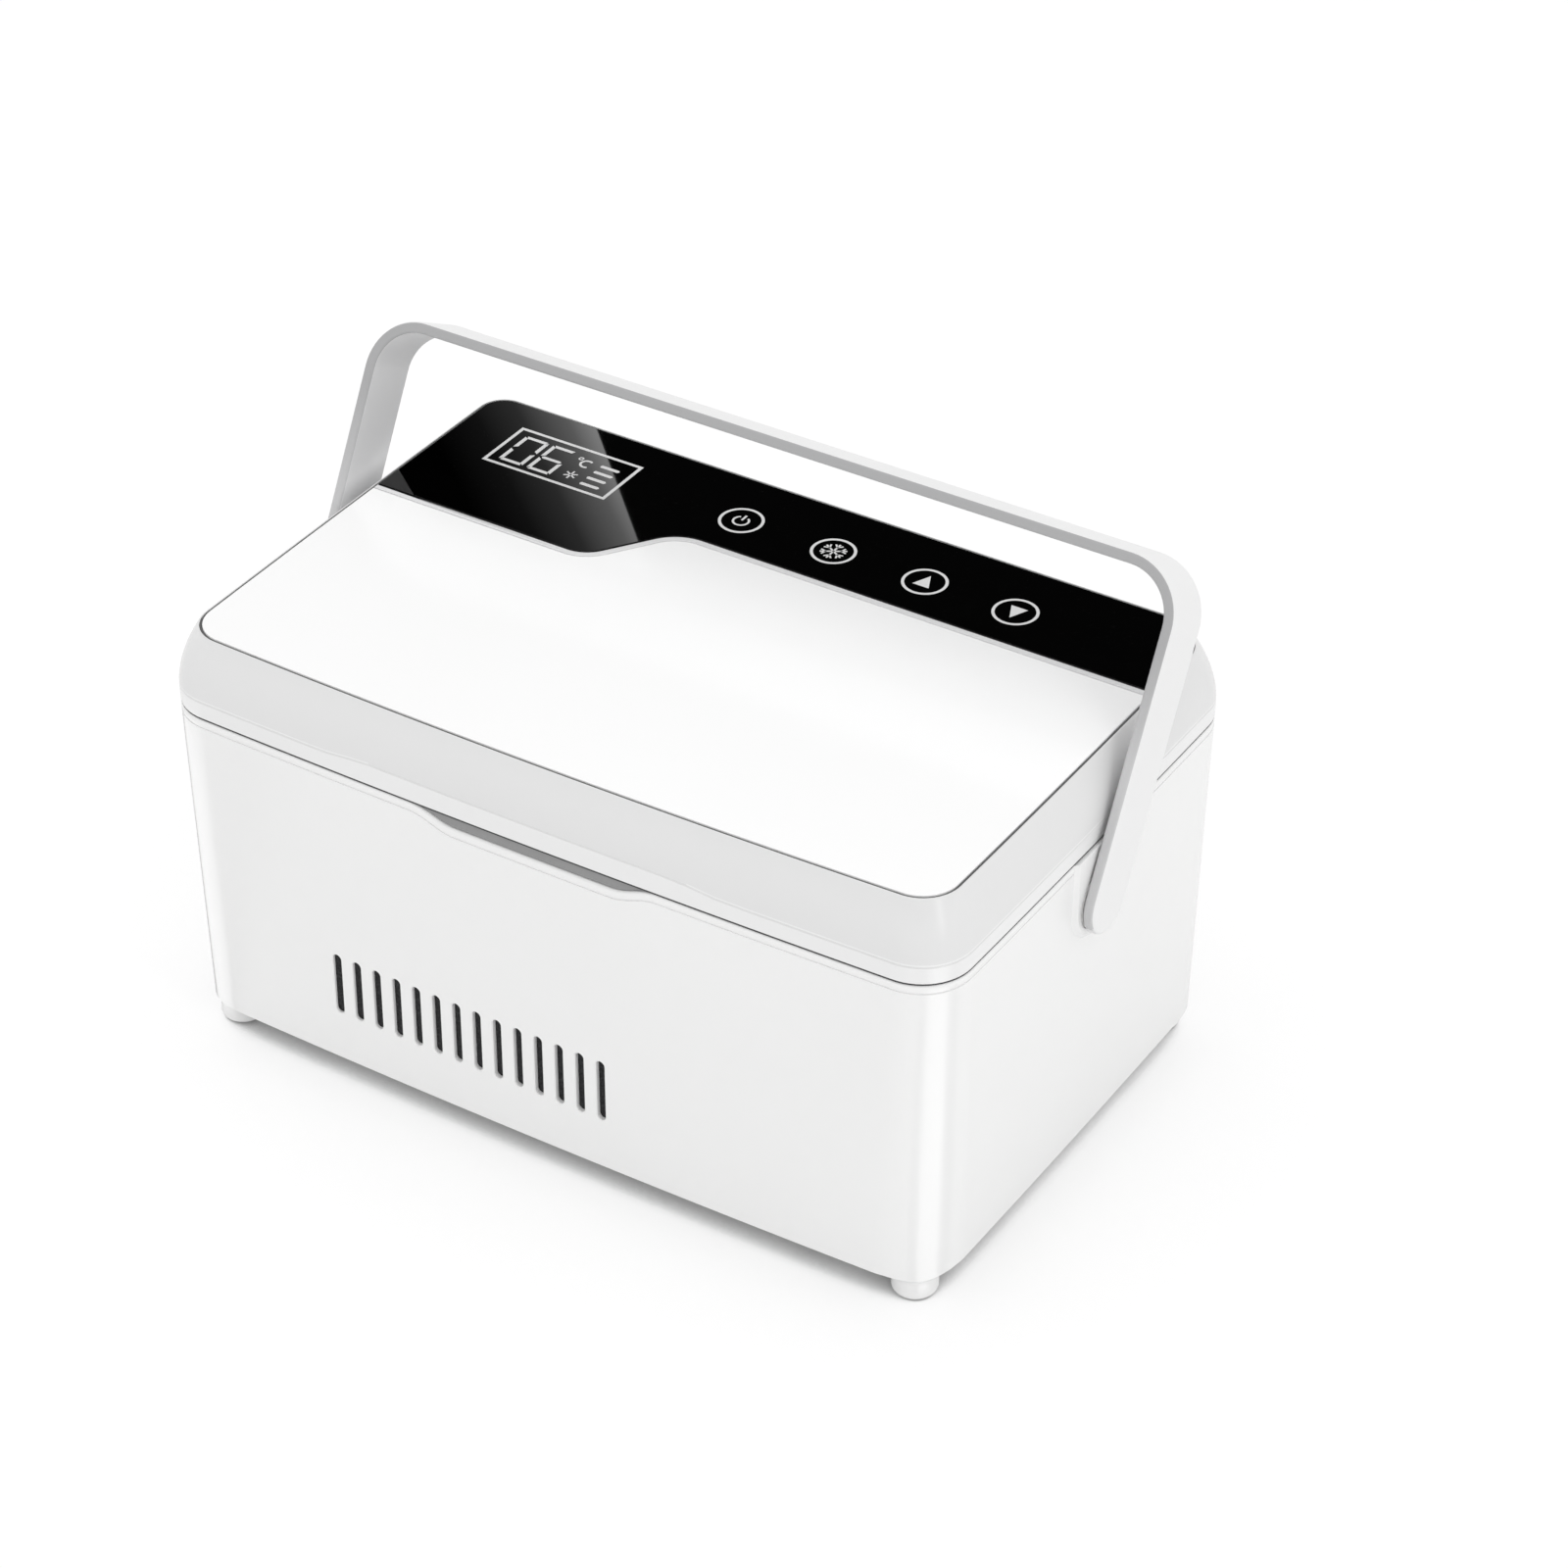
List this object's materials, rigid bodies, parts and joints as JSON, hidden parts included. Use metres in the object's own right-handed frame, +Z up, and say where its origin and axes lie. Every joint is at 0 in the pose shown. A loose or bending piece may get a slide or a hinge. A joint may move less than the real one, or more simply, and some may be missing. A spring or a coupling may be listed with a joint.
{
  "type": "insulin cooling case",
  "caption": "Portable cooling case for insulin pens: white box with a cold chamber, hinged lid with a black touch panel, air slots, feet and a swinging carrying handle.",
  "frame": {"origin": "on the surface that the feet stand on, under the middle of the whole object, hinge barrels and handle included", "axes": "+X to the right as seen from the front with the air slots, +Y to the rear with the hinges, +Z up"},
  "size_m": [0.2498, 0.1598, 0.1698],
  "materials": {
    "case_plastic": "satin white moulded plastic",
    "plate_gloss": "glossy white sheet",
    "panel_black": "glossy black sheet with printed white symbols",
    "trim_silver": "satin silver strip",
    "liner_aluminium": "plain sheet and extruded aluminium",
    "pin_steel": "bright steel",
    "soft_foam": "closed-cell insulating foam",
    "soft_rubber": "soft dark rubber",
    "dark_plastic": "matt black moulding",
    "pale_plastic": "natural nylon",
    "board_green": "green circuit board",
    "module_ceramic": "white ceramic plates",
    "cell_blue": "blue sleeve on a steel can",
    "lead_black": "black insulated wire",
    "lead_red": "red insulated wire"
  },
  "bodies": {
    "case": {"lower_case": "case_plastic", "base_plate": "case_plastic", "chamber_rim": "case_plastic", "inner_liner": "liner_aluminium", "heat_sink": "liner_aluminium", "cold_block": "liner_aluminium", "handle_pin_left": "pin_steel", "handle_pin_right": "pin_steel", "hinge_pin_left": "pin_steel", "hinge_pin_right": "pin_steel", "fan_stator": "pin_steel", "temperature_sensor": "pin_steel", "clamp_screw_left": "pin_steel", "clamp_screw_right": "pin_steel", "base_screw_front_left": "pin_steel", "base_screw_front_right": "pin_steel", "base_screw_rear_right": "pin_steel", "base_screw_rear_left": "pin_steel", "case_magnet_left": "pin_steel", "case_magnet_right": "pin_steel", "insulation_foam": "soft_foam", "foot_pad_front_left": "soft_rubber", "foot_pad_front_right": "soft_rubber", "foot_pad_rear_right": "soft_rubber", "foot_pad_rear_left": "soft_rubber", "chamber_seal": "soft_rubber", "fan_frame": "dark_plastic", "battery_holder": "dark_plastic", "inlet_jack": "dark_plastic", "capacitor": "dark_plastic", "control_chip": "dark_plastic", "lead_connector": "pale_plastic", "power_board": "board_green", "peltier_module": "module_ceramic", "battery_cell_1": "cell_blue", "battery_cell_2": "cell_blue", "fan_lead": "lead_black", "module_lead_black": "lead_black", "module_lead_red": "lead_red"},
    "lid": {"lid_shell": "case_plastic", "top_plate": "plate_gloss", "panel_trim": "trim_silver", "control_panel": "panel_black", "display_module": "dark_plastic", "touch_board": "board_green", "touch_pad_power": "soft_rubber", "touch_pad_mode": "soft_rubber", "touch_pad_up": "soft_rubber", "touch_pad_down": "soft_rubber", "lid_liner": "case_plastic", "lid_foam": "soft_foam", "lid_magnet_left": "pin_steel", "lid_magnet_right": "pin_steel"},
    "handle": {"handle_arm_left": "case_plastic", "handle_arm_right": "case_plastic", "handle_bar": "case_plastic", "handle_bush_left": "pale_plastic", "handle_bush_right": "pale_plastic"},
    "rotor": {"fan_rotor": "dark_plastic", "fan_shaft": "pin_steel"}
  },
  "joints": [
    {"name": "lid_open", "type": "hinge", "parent": "case", "child": "lid", "pos_m": [0, 0.07695, 0.1052], "axis": [-1, 0, 0], "range_deg": [0, 34]},
    {"name": "handle_swing", "type": "hinge", "parent": "case", "child": "handle", "pos_m": [0, -0.00195, 0.0885], "axis": [1, 0, 0], "range_deg": [-77, 134]},
    {"name": "fan_spin", "type": "hinge", "parent": "case", "child": "rotor", "pos_m": [-0.0228, -0.02045, 0.017], "axis": [0, 0, 1], "continuous": true}
  ]
}
